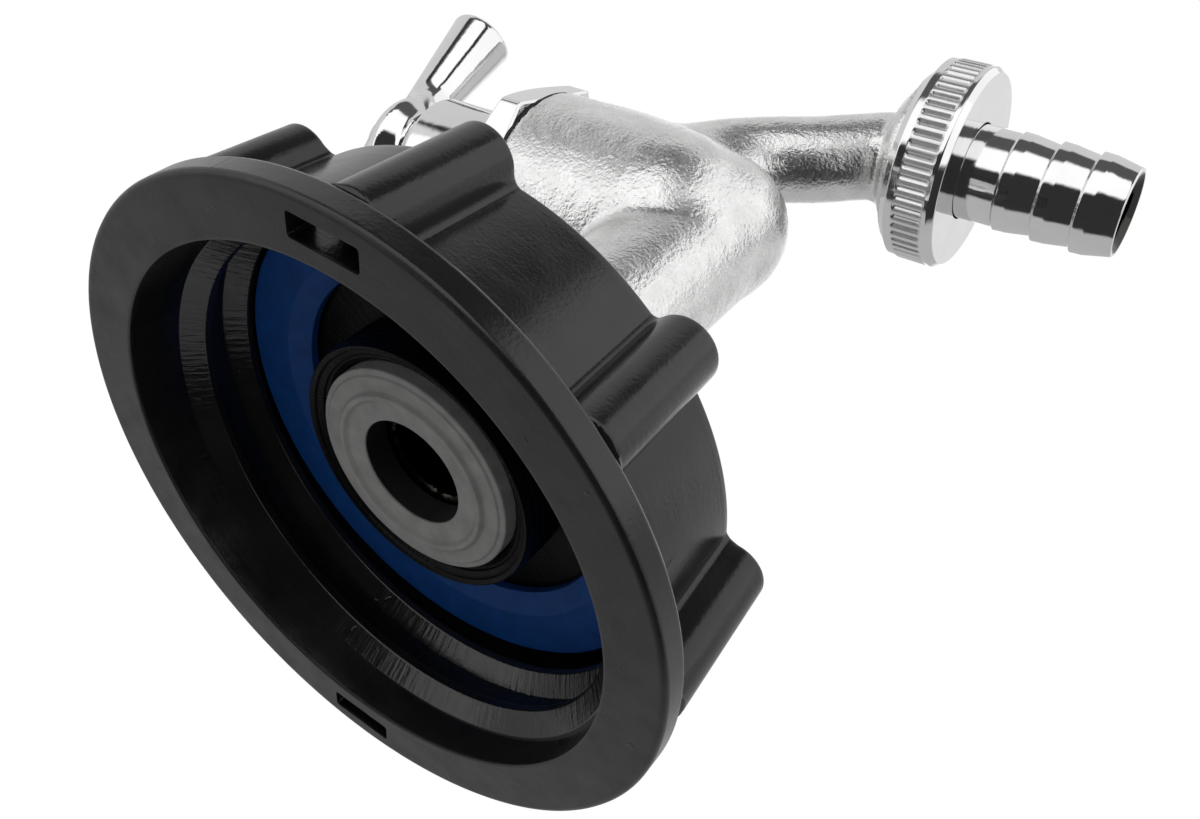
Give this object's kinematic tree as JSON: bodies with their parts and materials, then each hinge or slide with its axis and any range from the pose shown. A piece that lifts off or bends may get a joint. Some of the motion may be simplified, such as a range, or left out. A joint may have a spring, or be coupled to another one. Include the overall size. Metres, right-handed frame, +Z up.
{
  "type": "ibc tank valve",
  "caption": "Ribbed screw cap turning on a threaded bush, with a screw-down cast tap, T-handle, bent spout, knurled union nut and barbed hose tail, for the outlet of a tank.",
  "frame": {"origin": "centre of the cap's mouth, on the axis of its thread", "axes": "+X from the mouth into the tap along the inlet, +Z up the tap's spindle to the handle; the outlet points to -Z"},
  "size_m": [0.1208, 0.075, 0.1047],
  "materials": {
    "black_plastic": "moulded, satin",
    "blue_rubber": "matt",
    "grey_rubber": "matt",
    "black_rubber": "matt",
    "fibre": "matt",
    "cast_nickel": "sand cast, nickel plated, satin",
    "chrome": "polished, chrome plated",
    "brass": "turned",
    "graphite_packing": "matt"
  },
  "bodies": {
    "tap": {"tap_body": "cast_nickel", "adaptor_bush": "black_plastic", "mouth_seal_ring": "blue_rubber", "profile_washer": "grey_rubber", "inlet_seal_ring": "fibre", "bonnet": "chrome", "bonnet_gasket": "fibre", "gland_nut": "chrome", "gland_follower": "brass", "packing_ring_lower": "graphite_packing", "packing_ring_upper": "graphite_packing"},
    "cap": {"cap_nut": "black_plastic"},
    "valve_disc": {"valve_disc": "brass", "valve_washer": "black_rubber", "washer_nut": "brass"},
    "handle": {"spindle": "brass", "t_handle": "chrome", "handle_screw": "chrome"},
    "tail": {"hose_tail": "chrome", "tail_gasket": "black_rubber"},
    "nut": {"union_nut": "chrome"}
  },
  "joints": [
    {"name": "cap_spin", "type": "hinge", "parent": "tap", "child": "cap", "pos_m": [0, 0, 0], "axis": [1, 0, 0], "continuous": true},
    {"name": "disc_lift", "type": "slide", "parent": "tap", "child": "valve_disc", "axis": [0, 0, 1], "range_m": [0, 0.005]},
    {"name": "handle_turn", "type": "hinge", "parent": "valve_disc", "child": "handle", "pos_m": [0.065, 0, 0], "axis": [0, 0, 1], "range_deg": [0, 720]},
    {"name": "tail_drop", "type": "slide", "parent": "tap", "child": "tail", "axis": [0, 0, -1], "range_m": [0, 0.00272]},
    {"name": "nut_turn", "type": "hinge", "parent": "tail", "child": "nut", "pos_m": [0.1058, 0, 0], "axis": [0, 0, -1], "range_deg": [0, 540]}
  ],
  "couplings": [
    {"joint": "handle_turn", "follows": "disc_lift", "rad_per_m": 2513.3},
    {"joint": "nut_turn", "follows": "tail_drop", "rad_per_m": 3463.7}
  ]
}
